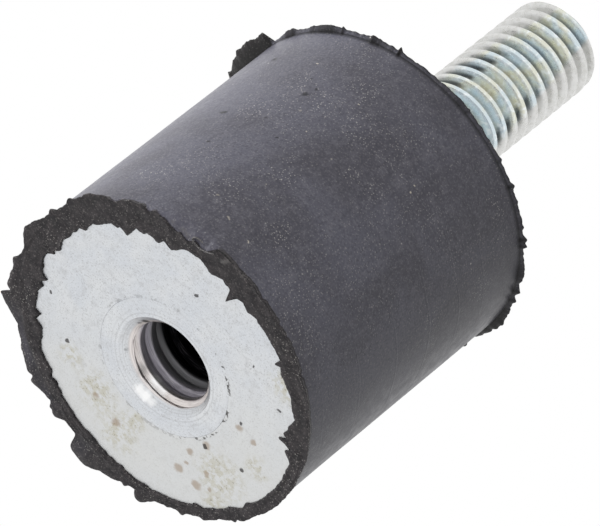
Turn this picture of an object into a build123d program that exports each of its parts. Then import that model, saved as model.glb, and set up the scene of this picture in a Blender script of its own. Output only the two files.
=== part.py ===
"""Bobbin vibration mount: a rubber cylinder moulded round two steel plates.

One plate carries a blind threaded bush, the socket, and the other a threaded stud. The rubber crept
over both plates when it was moulded, and its flash was torn off by hand, so every edge of it is ragged.
"""

import math
import os

from build123d import *

os.makedirs("parts", exist_ok=True)

# Driving dimensions, in millimetres and degrees. The mount stands on its socket end: the origin is
# in that end's face, on the axis of the rubber and the stud, and +Z runs up to the stud's tip.

# The rubber, and what the mould left on its edges
rubber_diameter = 20.0
rubber_height = 20.0
film_thickness = 0.15  # rubber that crept over a plate's outer face
film_overlap = 0.25  # how far it crept in from the plate's rim
flash_thickness = 0.3  # the torn fins that stand out round both ends
flash_lip = 0.12  # the least that they stand out of the cylinder
outline_step = 2.4  # degrees from one corner of a torn outline to the next

# The two steel plates, stamped alike
plate_thickness = 2.0
rim_cover = 0.8  # the rubber outside their rims

# The bush, turned with a collar and staked into its plate
bush_diameter = 8.8
bush_wall_behind_drill = 1.0
bush_tail_chamfer = 0.5
collar_diameter = 12.0
collar_thickness = 1.2
stake_groove = 0.12  # the fine vee round the bush where the plate's edge was broken

# The metal of the socket end lies a little off the rubber's axis, as it was moulded
socket_offset_x = 0.4
socket_offset_y = 0.45

# The M6 thread in the bush: its core, as the tap drill leaves it
socket_core_diameter = 5.0
socket_mouth_diameter = 6.2
socket_wall_length = 6.0
drill_point_angle = 118.0

# The M6 stud, with a flat head bonded in the rubber
stud_diameter = 6.0
stud_length = 18.0  # clear of the rubber
stud_tip_chamfer = 0.8
thread_pitch = 1.0
thread_depth = 0.61
thread_run_out = 0.85  # plain shank between the plate and the first turn
shoulder_diameter = 7.2  # pressed into the plate
head_diameter = 10.0
head_thickness = 2.5
head_edge_chamfer = 0.4

# The fine ripples of a torn edge: how many waves go round it, their height and their phase
EDGE_RIPPLES = [(7, 0.03, 20.0), (17, 0.03, 110.0), (41, 0.03, 75.0)]

# The tears and fins that show, each as its angle, how far it spreads before and after that, and how
# far it reaches: inwards over a plate where the rubber crept, outwards where flash is left
SOCKET_FILM_LOBES = [
    (22, 5, 4, 0.13),
    (87, 5, 4, 0.20),
    (133, 5, 4, 0.40),
    (155, 5, 5, 0.50),
    (172, 4, 6, 0.35),
    (213, 5, 5, 0.62),
    (231, 10, 10, 0.58),
    (253, 5, 5, 0.33),
    (265, 4, 4, 1.10),
    (273, 4, 7, 0.28),
    (298, 4, 12, 0.42),
    (314, 8, 8, 0.22),
    (329, 8, 6, 0.90),
]
SOCKET_FLASH_FINS = [
    (61, 6, 4, 0.70),
    (83, 15, 6, 1.35),
    (98, 4, 5, 0.55),
    (110, 6, 20, 0.70),
    (139, 9, 17, 1.05),
    (167, 5, 8, 0.42),
    (202, 8, 8, 0.20),
]
STUD_FILM_LOBES = [
    (28, 6, 9, 0.40),
    (75, 5, 5, 0.30),
    (118, 9, 7, 0.55),
    (176, 10, 8, 0.35),
    (236, 6, 6, 0.60),
    (290, 8, 10, 0.45),
    (334, 5, 6, 0.30),
]
STUD_FLASH_FINS = [
    (48, 5, 9, 0.35),
    (104, 7, 5, 0.45),
    (160, 5, 5, 0.75),
    (171, 9, 12, 1.10),
    (184, 4, 6, 0.40),
    (206, 16, 38, 0.25),
    (317, 4, 5, 0.25),
    (346, 24, 20, 0.30),
]

# What follows from the driving dimensions
rubber_radius = rubber_diameter / 2
plate_radius = rubber_radius - rim_cover
bush_radius = bush_diameter / 2
core_radius = socket_core_diameter / 2
stud_radius = stud_diameter / 2
film_edge_radius = plate_radius - film_overlap
flash_edge_radius = rubber_radius + flash_lip

socket_face = film_thickness  # the outer face of the socket plate
socket_plate_back = socket_face + plate_thickness
stud_face = rubber_height - film_thickness  # the outer face of the stud plate
stud_plate_back = stud_face - plate_thickness
stud_tip = rubber_height + stud_length
thread_foot = stud_face + thread_run_out
thread_turns = math.floor((stud_tip - stud_tip_chamfer - thread_foot) / thread_pitch)

mouth_depth = (socket_mouth_diameter - socket_core_diameter) / 2
drill_point = core_radius / math.tan(math.radians(drill_point_angle / 2))
drill_shoulder = socket_face + mouth_depth + socket_wall_length
bush_end = drill_shoulder + drill_point + bush_wall_behind_drill

rubber_axis = (0.0, 0.0)
socket_axis = (socket_offset_x, socket_offset_y)


def torn_outline(centre, radius, spots, direction):
    """A closed rippled outline about a centre, with a lobe or fin at each spot."""
    points = []
    for step in range(round(360 / outline_step)):
        angle = step * outline_step
        reach = radius
        for waves, height, phase in EDGE_RIPPLES:
            reach += height * math.sin(math.radians(waves * angle + phase))
        for place, before, after, size in spots:
            away = (angle - place + 180) % 360 - 180
            spread = after if away > 0 else before
            if abs(away) < spread:
                reach += direction * size * math.cos(math.radians(90 * away / spread)) ** 2
        around = math.radians(angle)
        points.append((centre[0] + reach * math.cos(around), centre[1] + reach * math.sin(around)))
    return points


def crept_outline(centre, spots):
    """The inner edge of the film over a plate: its lobes reach in towards the middle."""
    return torn_outline(centre, film_edge_radius, spots, -1)


def flash_outline(spots):
    """The outer edge of the flash round one end: its fins reach out."""
    ripple_room = sum(height for _, height, _ in EDGE_RIPPLES)
    return torn_outline(rubber_axis, flash_edge_radius + ripple_room, spots, 1)


def threaded_shank():
    """Half the section of the stud's shank, from the plate to the tip, with a vee at each turn."""
    section = [(0, stud_face), (stud_radius, stud_face)]
    for turn in range(thread_turns):
        crest = thread_foot + turn * thread_pitch
        section += [(stud_radius, crest), (stud_radius - thread_depth, crest + thread_pitch / 2)]
    section += [
        (stud_radius, thread_foot + thread_turns * thread_pitch),
        (stud_radius, stud_tip - stud_tip_chamfer),
        (stud_radius - stud_tip_chamfer, stud_tip),
        (0, stud_tip),
    ]
    return section


# The socket plate: a stamped disc, its hole's outer edge broken where the bush is staked into it.
with BuildPart() as socket_plate:
    with BuildSketch(Plane.XY.offset(socket_face)):
        with Locations(socket_axis):
            Circle(plate_radius)
            Circle(bush_radius, mode=Mode.SUBTRACT)
    extrude(amount=plate_thickness)
    face_rims = socket_plate.edges().filter_by(GeomType.CIRCLE).group_by(Axis.Z)[0]
    chamfer(face_rims.sort_by(SortBy.RADIUS)[0], stake_groove)

# The bush before it is drilled, which is also the room that it takes up in the rubber.
with BuildPart() as bush_blank:
    with BuildSketch(Plane.XY.offset(socket_face)):
        with Locations(socket_axis):
            Circle(bush_radius)
    extrude(amount=bush_end - socket_face)
    tail_rim = bush_blank.edges().filter_by(GeomType.CIRCLE).sort_by(Axis.Z)[-1]
    chamfer(tail_rim, bush_tail_chamfer)
    with BuildSketch(Plane.XY.offset(socket_plate_back)):
        with Locations(socket_axis):
            Circle(collar_diameter / 2)
    extrude(amount=collar_thickness)

# The bush: drilled blind from the face, its mouth opened out to the thread's full diameter.
with BuildPart() as threaded_bush:
    add(bush_blank.part)
    with BuildSketch(Plane.XZ.offset(-socket_offset_y)):
        with BuildLine():
            Polyline(
                (socket_offset_x, socket_face),
                (socket_offset_x + socket_mouth_diameter / 2, socket_face),
                (socket_offset_x + core_radius, socket_face + mouth_depth),
                (socket_offset_x + core_radius, drill_shoulder),
                (socket_offset_x, drill_shoulder + drill_point),
                close=True,
            )
        make_face()
    revolve(axis=Axis((socket_offset_x, socket_offset_y, 0), (0, 0, 1)), mode=Mode.SUBTRACT)

# The stud: its head stays inside the rubber and its shoulder is pressed into the plate. The turns of
# its thread are rings, one pitch apart: they give its relief with a small part of a helix's facets.
with BuildPart() as stud:
    with BuildSketch(Plane.XY.offset(stud_plate_back)):
        Circle(head_diameter / 2)
    extrude(amount=-head_thickness)
    chamfer(stud.edges().filter_by(GeomType.CIRCLE).sort_by(Axis.Z)[0], head_edge_chamfer)
    with BuildSketch(Plane.XY.offset(stud_plate_back)):
        Circle(shoulder_diameter / 2)
    extrude(amount=plate_thickness)
    with BuildSketch(Plane.XZ):
        with BuildLine():
            Polyline(*threaded_shank(), close=True)
        make_face()
    revolve(axis=Axis.Z)

# The stud plate: the same stamped disc, with a hole for the stud's shoulder.
with BuildPart() as stud_plate:
    with BuildSketch(Plane.XY.offset(stud_plate_back)):
        Circle(plate_radius)
        Circle(shoulder_diameter / 2, mode=Mode.SUBTRACT)
    extrude(amount=plate_thickness)

# The rubber: one moulding, bonded to all the metal that it holds.
with BuildPart() as rubber_body:
    with BuildSketch():
        Circle(rubber_radius)
    extrude(amount=rubber_height)
    # The flash round each end
    with BuildSketch():
        with BuildLine():
            Polyline(*flash_outline(SOCKET_FLASH_FINS), close=True)
        make_face()
    extrude(amount=flash_thickness)
    with BuildSketch(Plane.XY.offset(rubber_height)):
        with BuildLine():
            Polyline(*flash_outline(STUD_FLASH_FINS), close=True)
        make_face()
    extrude(amount=-flash_thickness)
    # The faces that the film leaves bare
    with BuildSketch():
        with BuildLine():
            Polyline(*crept_outline(socket_axis, SOCKET_FILM_LOBES), close=True)
        make_face()
    extrude(amount=film_thickness, mode=Mode.SUBTRACT)
    with BuildSketch(Plane.XY.offset(rubber_height)):
        with BuildLine():
            Polyline(*crept_outline(rubber_axis, STUD_FILM_LOBES), close=True)
        make_face()
    extrude(amount=-film_thickness, mode=Mode.SUBTRACT)
    # The room for the metal
    with BuildSketch(Plane.XY.offset(socket_face)):
        with Locations(socket_axis):
            Circle(plate_radius)
    extrude(amount=plate_thickness, mode=Mode.SUBTRACT)
    add(bush_blank.part, mode=Mode.SUBTRACT)
    add(stud_plate.part, mode=Mode.SUBTRACT)
    add(stud.part, mode=Mode.SUBTRACT)

rubber_body.part.label = "rubber_body"
socket_plate.part.label = "socket_plate"
threaded_bush.part.label = "threaded_bush"
stud_plate.part.label = "stud_plate"
stud.part.label = "stud"

for piece in (rubber_body, socket_plate, threaded_bush, stud_plate, stud):
    export_step(piece.part, f"parts/{piece.part.label}.step")
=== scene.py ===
# %% [markdown]
# # A bobbin vibration mount
# A cylinder of black rubber, 20 mm across, moulded round two zinc-plated steel plates. One plate
# holds a threaded bush and the other a threaded stud. The rubber crept over both plates in the
# mould and was torn off by hand, so every edge of it is ragged. That ragged edge is what makes the
# thing look real.
#
# Everything here is in metres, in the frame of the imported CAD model: the mount stands on its socket
# end, with the origin in that end's face and +Z running up to the stud's tip.

import math

import bmesh
import bpy
import numpy as np
from mathutils import Matrix, Vector, noise


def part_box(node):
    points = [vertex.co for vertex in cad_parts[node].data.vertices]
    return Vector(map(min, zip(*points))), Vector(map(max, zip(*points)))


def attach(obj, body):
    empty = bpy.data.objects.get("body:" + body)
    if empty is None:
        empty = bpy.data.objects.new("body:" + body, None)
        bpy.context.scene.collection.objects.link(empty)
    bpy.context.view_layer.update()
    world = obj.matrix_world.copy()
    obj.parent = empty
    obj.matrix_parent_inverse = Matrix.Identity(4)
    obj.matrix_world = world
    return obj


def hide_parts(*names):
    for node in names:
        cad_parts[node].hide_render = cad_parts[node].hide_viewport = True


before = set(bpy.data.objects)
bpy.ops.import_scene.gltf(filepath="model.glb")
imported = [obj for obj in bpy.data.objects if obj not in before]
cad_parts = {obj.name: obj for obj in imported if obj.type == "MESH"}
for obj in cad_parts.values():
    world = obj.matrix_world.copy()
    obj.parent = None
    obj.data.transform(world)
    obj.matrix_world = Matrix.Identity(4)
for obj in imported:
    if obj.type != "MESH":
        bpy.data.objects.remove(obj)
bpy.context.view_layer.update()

MM = 0.001


def show(thing):
    """Put an object in the scene."""
    bpy.context.scene.collection.objects.link(thing)
    return thing


# %% [markdown]
# ## Where things are
# A modeller could type every size in again, but then a change of the CAD would leave this script
# behind. So the sizes come from the boxes of the CAD nodes wherever a box can say them.

# %% Sizes from the frame
plate_low, plate_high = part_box("socket_plate")
bush_low, bush_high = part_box("threaded_bush")
stud_plate_low, stud_plate_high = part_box("stud_plate")
stud_low, stud_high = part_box("stud")

SOCKET_AXIS = Vector(((bush_low.x + bush_high.x) / 2, (bush_low.y + bush_high.y) / 2, 0.0))
STUD_AXIS = Vector((0.0, 0.0, 0.0))

plate_radius = (stud_plate_high.x - stud_plate_low.x) / 2
collar_radius = (bush_high.x - bush_low.x) / 2
film = bush_low.z  # the thickness of the rubber over the plates
rubber_top = stud_plate_high.z + film
RIM_COVER = 0.8 * MM  # the rubber outside the plates' rims
rubber_radius = plate_radius + RIM_COVER
print("rubber radius and height in mm:", round(rubber_radius / MM, 2), round(rubber_top / MM, 2))

# %% [markdown]
# ## The camera
# The mount lies tipped towards the viewer, so that the socket end and the side both show. Turning
# the object would break the shared frame. The camera goes round to that side instead, below the
# level of the floor, looks up at the socket end and is rolled about its own line of sight. A long
# lens from 0.4 m keeps the two ends of the mount nearly the same size.

# %% Camera
LOOK_AT = Vector((0.585, 0.0, 12.06)) * MM
CAMERA_PLACE = Vector((0.0, -303.447, -241.938)) * MM
CAMERA_ROLL = math.radians(51.23)
SENSOR_WIDTH, LENS_LENGTH = 36.0, 425.1

camera = show(bpy.data.objects.new("camera", bpy.data.cameras.new("camera")))
camera.data.sensor_width = SENSOR_WIDTH
camera.data.lens = LENS_LENGTH
level = (LOOK_AT - CAMERA_PLACE).to_track_quat("-Z", "Y").to_matrix().to_4x4()
camera.matrix_world = (
    Matrix.Translation(CAMERA_PLACE) @ level @ Matrix.Rotation(CAMERA_ROLL, 4, "Z")
)
bpy.context.scene.camera = camera
print("camera distance in mm:", round((LOOK_AT - CAMERA_PLACE).length / MM, 1))

# %% [markdown]
# ## Small helpers for node trees
# Materials and Geometry Nodes are both trees of nodes, and both get long when every link is a line
# of its own. One helper gives a socket its value, or a link if the value comes from another node.
# The others each add one common node and hand back its output, so a tree reads like a sum. A
# socket knows the tree that it is in, so most of them needn't be told.

# %% Node helpers
def put(socket, value):
    """Set a socket, or link it when the value is the output of another node."""
    if isinstance(value, bpy.types.NodeSocket):
        socket.id_data.links.new(value, socket)
    else:
        socket.default_value = value


def add(tree, kind, inputs=(), **settings):
    """Add a node, choose its settings and fill its inputs, given as {name or number: value}."""
    node = tree.nodes.new(kind)
    for name, value in settings.items():
        setattr(node, name, value)
    for key, value in dict(inputs).items():
        put(node.inputs[key], value)
    return node


def tree_of(*values):
    """The tree of the first of these values that is a socket."""
    return next(v.id_data for v in values if isinstance(v, bpy.types.NodeSocket))


def maths(operation, a, b=0.0, clamp=False):
    """One sum on numbers."""
    inputs = {0: a, 1: b}
    node = add(tree_of(a, b), "ShaderNodeMath", inputs, operation=operation, use_clamp=clamp)
    return node.outputs[0]


def span(value, low, high, to_low=0.0, to_high=1.0):
    """Map a number smoothly from one span to another, and hold it at the ends."""
    inputs = {0: value, 1: low, 2: high, 3: to_low, 4: to_high}
    node = add(tree_of(value), "ShaderNodeMapRange", inputs, interpolation_type="SMOOTHSTEP")
    return node.outputs[0]


def blend(share, a, b):
    """Mix two colours."""
    inputs = {0: share, 6: a, 7: b}
    return add(tree_of(share, a, b), "ShaderNodeMix", inputs, data_type="RGBA").outputs[2]


def times(a, b):
    """The product of two numbers."""
    return maths("MULTIPLY", a, b)


def plus(a, b):
    """The sum of two numbers."""
    return maths("ADD", a, b)


def minus(a, b):
    """The difference of two numbers."""
    return maths("SUBTRACT", a, b)


def larger(a, b):
    """The larger of two numbers."""
    return maths("MAXIMUM", a, b)


def apart(a, b):
    """How far apart two numbers are."""
    return maths("ABSOLUTE", minus(a, b))


def vector_maths(operation, a, b, output="Vector"):
    """One sum on places or directions. Its answer is a vector, or a number from "Value"."""
    node = add(tree_of(a, b), "ShaderNodeVectorMath", {0: a, 1: b}, operation=operation)
    return node.outputs[output]


def kept(shader, name):
    """A value that the mesh keeps at each point, for the tree of this shader."""
    return add(shader.id_data, "ShaderNodeAttribute", attribute_name=name).outputs["Fac"]


def split(place):
    """The X, Y and Z of a place."""
    return add(tree_of(place), "ShaderNodeSeparateXYZ", {0: place}).outputs


def flecked(under, over, pattern, low, high, strength=1.0):
    """Lay a colour over another where a pattern runs from low to high."""
    return blend(span(pattern, low, high, 0.0, strength), under, over)


def paint(under, over, here, strength):
    """Lay a colour over another, at this strength where `here` is 1."""
    return blend(times(here, strength), under, over)


def rgb(red, green, blue):
    """A colour with full alpha."""
    return (red, green, blue, 1.0)


def new_material(name):
    """A material with its shader and the object's own coordinates."""
    made = bpy.data.materials.new(name)
    made.use_nodes = True
    place = add(made.node_tree, "ShaderNodeTexCoord").outputs["Object"]
    return made, made.node_tree.nodes["Principled BSDF"], place


def rough(place, size, detail=2.0, wobble=0.0):
    """Noise whose lumps are about this size, in metres."""
    inputs = {"Vector": place, "Scale": 1.0 / size, "Detail": detail, "Distortion": wobble}
    return add(tree_of(place), "ShaderNodeTexNoise", inputs).outputs["Fac"]


def roughen(shader, relief, strength, height):
    """Give a shader a relief this high that is too fine for the mesh."""
    inputs = {"Height": relief, "Strength": strength, "Distance": height}
    put(shader.inputs["Normal"], add(shader.id_data, "ShaderNodeBump", inputs).outputs[0])


# %% [markdown]
# ## Light
# The mount lies in a white light tent. The world is plain white to the eye and in reflections, and
# much dimmer as a light, so that the lamps have something to add. A wide key lamp stands off the -X
# side and a smaller one in front, so the side of the rubber goes from light to dark round its
# curve. The third hangs above and lights the floor. The white that the rubber mirrors at grazing
# angles brightens both of its edges.

# %% World and lamps
WORLD_LIGHT = 0.14

world = bpy.data.worlds.new("light tent")
world.use_nodes = True
bpy.context.scene.world = world
tree = world.node_tree
ray = add(tree, "ShaderNodeLightPath").outputs
seen = plus(ray["Is Camera Ray"], ray["Is Glossy Ray"])
seen = maths("ADD", seen, ray["Is Transmission Ray"], clamp=True)
strength = span(seen, 0.0, 1.0, WORLD_LIGHT, 1.0)
put(tree.nodes["Background"].inputs["Color"], rgb(1.0, 1.0, 1.0))
put(tree.nodes["Background"].inputs["Strength"], strength)


def soft_lamp(name, place, size, watts, colour):
    """A square lamp aimed at the middle of the rubber, hidden from the camera and from mirrors."""
    lamp = show(bpy.data.objects.new(name, bpy.data.lights.new(name, "AREA")))
    lamp.data.size = size
    lamp.data.energy = watts
    lamp.data.color = colour
    lamp.location = place
    aim = Vector((0.0, 0.0, rubber_top / 2)) - lamp.location
    lamp.rotation_euler = aim.to_track_quat("-Z", "Y").to_euler()
    lamp.visible_camera = False
    lamp.visible_glossy = False


soft_lamp("key lamp", (-0.344, 0.161, -0.12), 0.4, 4.5, (0.97, 0.98, 1.0))
soft_lamp("front lamp", (-0.15, -0.35, -0.2), 0.3, 1.8, (0.97, 0.98, 1.0))
soft_lamp("top lamp", (0.0, 0.0, 0.9), 0.8, 7.0, (1.0, 1.0, 1.0))

# %% [markdown]
# ## The floor
# The mount stands on a pale floor. The main view looks at the socket end from below that floor, so
# the floor shows only from above, and lets every other ray through: the light reaches the socket
# end, and a view from above still gets the mount's shadow.

# %% Floor
FLOOR_SIZE = 3.0
FLOOR_DROP = 0.05 * MM

floor_mesh = bpy.data.meshes.new("floor")
edge = FLOOR_SIZE / 2
corners = [(-edge, -edge), (edge, -edge), (edge, edge), (-edge, edge)]
floor_mesh.from_pydata([(x, y, -FLOOR_DROP) for x, y in corners], [], [(0, 1, 2, 3)])
floor = show(bpy.data.objects.new("floor", floor_mesh))

floor_paper, shader, place = new_material("floor_paper")
tree = shader.id_data
ray = add(tree, "ShaderNodeLightPath").outputs["Is Camera Ray"]
back = add(tree, "ShaderNodeNewGeometry").outputs["Backfacing"]
shown = times(ray, minus(1.0, back))
paper = blend(rough(place, 0.05), rgb(0.9, 0.9, 0.9), rgb(0.94, 0.94, 0.94))
put(shader.inputs["Base Color"], paper)
shader.inputs["Roughness"].default_value = 1.0
shader.inputs["Specular IOR Level"].default_value = 0.0
clear = add(tree, "ShaderNodeBsdfTransparent").outputs[0]
mixed = add(tree, "ShaderNodeMixShader", {0: shown, 1: clear, 2: shader.outputs[0]}).outputs[0]
put(tree.nodes["Material Output"].inputs["Surface"], mixed)
floor_mesh.materials.append(floor_paper)

# %% [markdown]
# ## Torn edges
# A torn edge isn't random all over: it has places where a tongue of rubber stayed on or a bite came
# away, and between them it is only a little uneven. So each edge is a plain circle with a list of
# such places, each with its angle, how far it spreads before and after that, and how far it
# reaches. Fine noise goes on top. Sculpting would work too, but a list can be read and changed.

# %% Helpers for torn edges
COLUMNS = 1200
ANGLES = np.arange(COLUMNS) * 2 * math.pi / COLUMNS


def soften(values, degrees):
    """Round off what is sharper than about this many degrees."""
    width = round(degrees * COLUMNS / 360)
    kernel = np.hanning(2 * width + 3)
    kernel = kernel / kernel.sum()
    return sum(k * np.roll(values, i - width - 1) for i, k in enumerate(kernel))


def torn(spots, round_off=0.5, dome=False):
    """How far an edge reaches at every column, in metres, from places in degrees and mm."""
    reach = np.zeros(COLUMNS)
    for angle, before, after, size in spots:
        away = (np.degrees(ANGLES) - angle + 180.0) % 360.0 - 180.0
        near = np.clip(1.0 - np.where(away < 0, -away / before, away / after), 0.0, 1.0)
        if dome:
            near = np.sqrt(1.0 - (1.0 - near) ** 2)
        reach = np.where(near * abs(size) * MM > np.abs(reach), near * size * MM, reach)
    return soften(reach, round_off)


def uneven(waves, height, seed):
    """Noise round a circle, in metres: about this many waves, of about this height."""
    at = waves / 6.0
    values = [noise.noise((math.cos(a) * at, math.sin(a) * at, seed)) for a in ANGLES]
    return np.array(values) * height * 2.0


def circle_about(centre, radius):
    """The distance from the rubber's axis to a circle about another centre, at every column."""
    return radius + centre.x * np.cos(ANGLES) + centre.y * np.sin(ANGLES)


# %% The torn edges of both ends
# angle, spread before, spread after, reach over the plate
SOCKET_FILM = [
    (14, 4, 2, 0.16), (23, 3, 2, 0.14), (31, 2, 3, 0.07), (39, 4, 1.2, 0.2), (60, 22, 14, -0.09),
    (62, 1, 1, 0.08), (70, 1.2, 1.6, 0.1), (84.5, 4, 4.5, 0.16), (95, 3, 2, 0.06),
    (104, 3, 3, 0.1), (107, 2, 2.5, 0.14), (109.8, 0.8, 0.8, -0.1), (112, 1.5, 5, 0.16),
    (129.8, 7, 3, 0.42), (136, 1.6, 2, 0.34), (145, 4, 2, 0.16), (150, 5, 3, 0.42),
    (154, 4, 3, 0.52), (163, 4, 6, -0.19), (168.5, 1, 2, 0.24), (173, 4, 5, 0.36),
    (182, 4, 3, 0.18), (190, 2, 1, -0.12), (192.5, 1.5, 2, 0.18), (198, 3, 3, -0.08),
    (210, 2, 3, 0.22), (214, 3, 6, 0.66), (223, 4, 4, 0.28), (230, 7, 4, 0.54), (236.5, 6, 6, 0.6),
    (256, 6, 6, 0.36), (263, 3, 3, 0.2), (267.5, 2.4, 2, 1.25), (268, 6, 6, 0.34),
    (276, 6, 3, 0.3), (283, 5, 5, 0.06), (298.5, 1.6, 1.2, 0.52), (303, 5, 10, 0.34),
    (315, 6, 6, 0.14), (330, 9, 4, 0.78), (333.5, 4, 1.2, 1.08), (337.5, 3, 4, 0.5),
]
# angle, spread before, spread after, reach out of the cylinder
SOCKET_FLASH = [
    (4, 6, 1, 0.05), (20, 12, 1, 0.12), (22.8, 1.5, 0.7, 0.22), (36, 5, 1.0, 0.14),
    (44.5, 1.4, 1.6, 0.28), (50, 3, 4, 0.06), (61.3, 6.5, 1.1, 0.84), (67, 1.7, 1.2, 0.48),
    (76, 14, 8, 0.5), (97, 2.6, 6, 0.66), (100.6, 5, 0.8, 0.56), (103.6, 1.4, 2.0, 0.4),
    (109.6, 8, 3, 0.94), (112.4, 3, 26, 0.76), (139, 12.5, 3.5, 1.22), (142.6, 3, 15, 0.76),
    (152.3, 0.9, 5, 0.5), (168, 7, 10, 0.56), (183, 1.6, 1.6, 0.18), (193, 1.4, 6, 0.24),
    (203, 10, 7, 0.3), (213, 4, 3, -0.24), (220, 4, 4, 0.1), (227, 2.5, 2.5, -0.34),
    (231, 3, 4, -0.26), (238, 7, 8, -0.72), (243, 10, 9, -0.92), (250, 9, 3.8, -0.94),
    (257, 3, 4, 0.12),
]
STUD_FILM = [
    (28, 6, 9, 0.4), (52, 3, 2, 0.18), (75, 5, 5, 0.3), (97, 2, 4, 0.22), (118, 9, 7, 0.55),
    (146, 3, 3, 0.2), (176, 10, 8, 0.35), (204, 4, 2, 0.25), (236, 6, 6, 0.6), (262, 3, 5, 0.22),
    (290, 8, 10, 0.45), (334, 5, 6, 0.3), (351, 3, 2, 0.18),
]
STUD_FLASH = [
    (15, 4, 2, 0.42), (48, 5, 9, 0.35), (66, 4, 3, 0.22), (84, 3, 2, 0.15), (104, 7, 5, 0.45),
    (121, 3, 4, 0.2), (139, 5, 3, 0.28), (195, 7, 8, 0.28), (211, 14, 16, 0.26),
    (217.8, 0.9, 1, 0.42), (230, 6, 10, 0.22), (240, 0.6, 0.6, 0.44), (263, 8, 16, 0.14),
    (296.8, 1.6, 2.5, 0.18), (309, 4, 6, 0.12), (316.4, 1.4, 1.4, 0.34), (318.8, 1.5, 1.2, 0.28),
    (331, 8, 4, 0.24), (338, 3.5, 2, 0.3), (341.8, 1.2, 3, 0.34), (354, 14, 15, 0.38),
]
# The one large flap left on the stud end: angle, reach
STUD_FLAP = [
    (143, 0.1), (148, 0.44), (154, 0.6), (157.5, 0.7), (159.8, 1.02), (161.5, 0.9), (165, 1.04),
    (167.5, 1.0), (169.2, 1.16), (171.5, 1.02), (175, 1.02), (178, 0.78), (181, 0.8),
    (183.4, 0.76), (185.4, 0.1),
]
LUMP = [(83.3, 8.5, 5.2, 1.42), (81, 13, 6, 0.8)]
LIP = 0.13 * MM
FILM_OVERLAP = 0.25 * MM

fine = uneven(60, 0.035 * MM, 3.0) + uneven(150, 0.035 * MM, 8.0) + uneven(330, 0.02 * MM, 12.0)
film_centre = SOCKET_AXIS + Vector((0.0, -0.05 * MM, 0.0))
socket_film_edge = circle_about(film_centre, plate_radius - FILM_OVERLAP)
socket_film_edge += fine - torn(SOCKET_FILM, 0.35)
flash_centre = Vector((0.0, 0.1 * MM, 0.0))
socket_flash_edge = circle_about(flash_centre, rubber_radius + LIP)
lump_reach = torn(LUMP, 0.8, dome=True)
socket_flash_edge += np.where(lump_reach > 0.0, np.maximum(lump_reach, torn(SOCKET_FLASH, 0.9)),
                              torn(SOCKET_FLASH, 0.9))
socket_flash_edge += uneven(30, 0.05 * MM, 17.0) + np.roll(fine, 211) * 0.9
stud_film_edge = plate_radius - FILM_OVERLAP - torn(STUD_FILM) + np.roll(fine, 97)
stud_flash_edge = rubber_radius + LIP + np.roll(fine, 401)
flap = np.interp(np.degrees(ANGLES) % 360, *zip(*STUD_FLAP), left=0.0, right=0.0) * MM
stud_flash_edge += np.maximum(torn(STUD_FLASH), flap)
teeth = np.clip(uneven(190, 0.07 * MM, 23.0), 0.0, None)
stud_flash_edge += teeth * (np.cos(ANGLES - 5.4) + 1.0) * 0.5
print("flash stands out by up to", round((socket_flash_edge.max() - rubber_radius) / MM, 2), "mm")

# How far the tips of the longest fins lean round the axis, in degrees
FLASH_LEAN = [(61.8, 1.6, 1.2, 1.3), (86, 2, 2.4, 1.0), (153, 1.2, 3, 1.4)]
lean = np.radians(torn(FLASH_LEAN) / MM)

# %% [markdown]
# ## The rubber
# The rubber is one closed skin. A designer might cut it from a solid, but its ragged edges need
# more points than a cut leaves. Here it is woven from rings: each ring has one point for every
# column round the axis, with its own radius and height at each, and the rings follow the skin from
# the pocket round the bush, out over the film and flash of the socket end, up the side, over the
# stud end and into the pocket round the stud's head. A value kept at every point says how much of
# it is torn film, and another how dark the material paints it as the shade in a crease.

# %% A skin woven from rings
WELD_DISTANCE = 0.0005 * MM  # points nearer than this are made one
SLIVER_EDGE = 0.0002 * MM  # faces thinner than this are taken out
COLUMN = np.arange(COLUMNS)
NEXT_COLUMN = (COLUMN + 1) % COLUMNS


def ring_points(centre, radius, height, turned=0.0):
    """The points of one ring, from a radius and a height for each column."""
    at = ANGLES + turned
    radius, height, _ = np.broadcast_arrays(radius, height, ANGLES)
    return zip(centre.x + radius * np.cos(at), centre.y + radius * np.sin(at), height)


def bands(count, first):
    """The faces between this many rings, whose points start at number `first`."""
    faces = []
    for row in range(count - 1):
        low = first + row * COLUMNS
        high = low + COLUMNS
        quads = [low + COLUMN, low + NEXT_COLUMN, high + NEXT_COLUMN, high + COLUMN]
        faces += [tuple(q) for q in np.stack(quads, axis=1).tolist()]
    return faces


def weave(name, rings, bottom, top, values):
    """A closed mesh from rings, each (centre, radii, heights, lean), with a point at either end."""
    points = [bottom]
    for each in rings:
        points += ring_points(*each)
    points.append(top)
    last = len(points) - 1
    edge = last - COLUMNS
    sides = list(zip(COLUMN.tolist(), NEXT_COLUMN.tolist()))
    faces = [(0, 1 + b, 1 + a) for a, b in sides] + bands(len(rings), 1)
    faces += [(last, edge + a, edge + b) for a, b in sides]
    mesh = bpy.data.meshes.new(name)
    mesh.from_pydata(points, [], faces)
    for key, per_ring in values.items():
        spread = [np.broadcast_to(v, COLUMNS) for v in per_ring]
        data = np.concatenate([spread[0][:1], *spread, spread[-1][:1]]).astype(np.float32)
        mesh.attributes.new(key, "FLOAT", "POINT").data.foreach_set("value", data)
    return mesh


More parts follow.
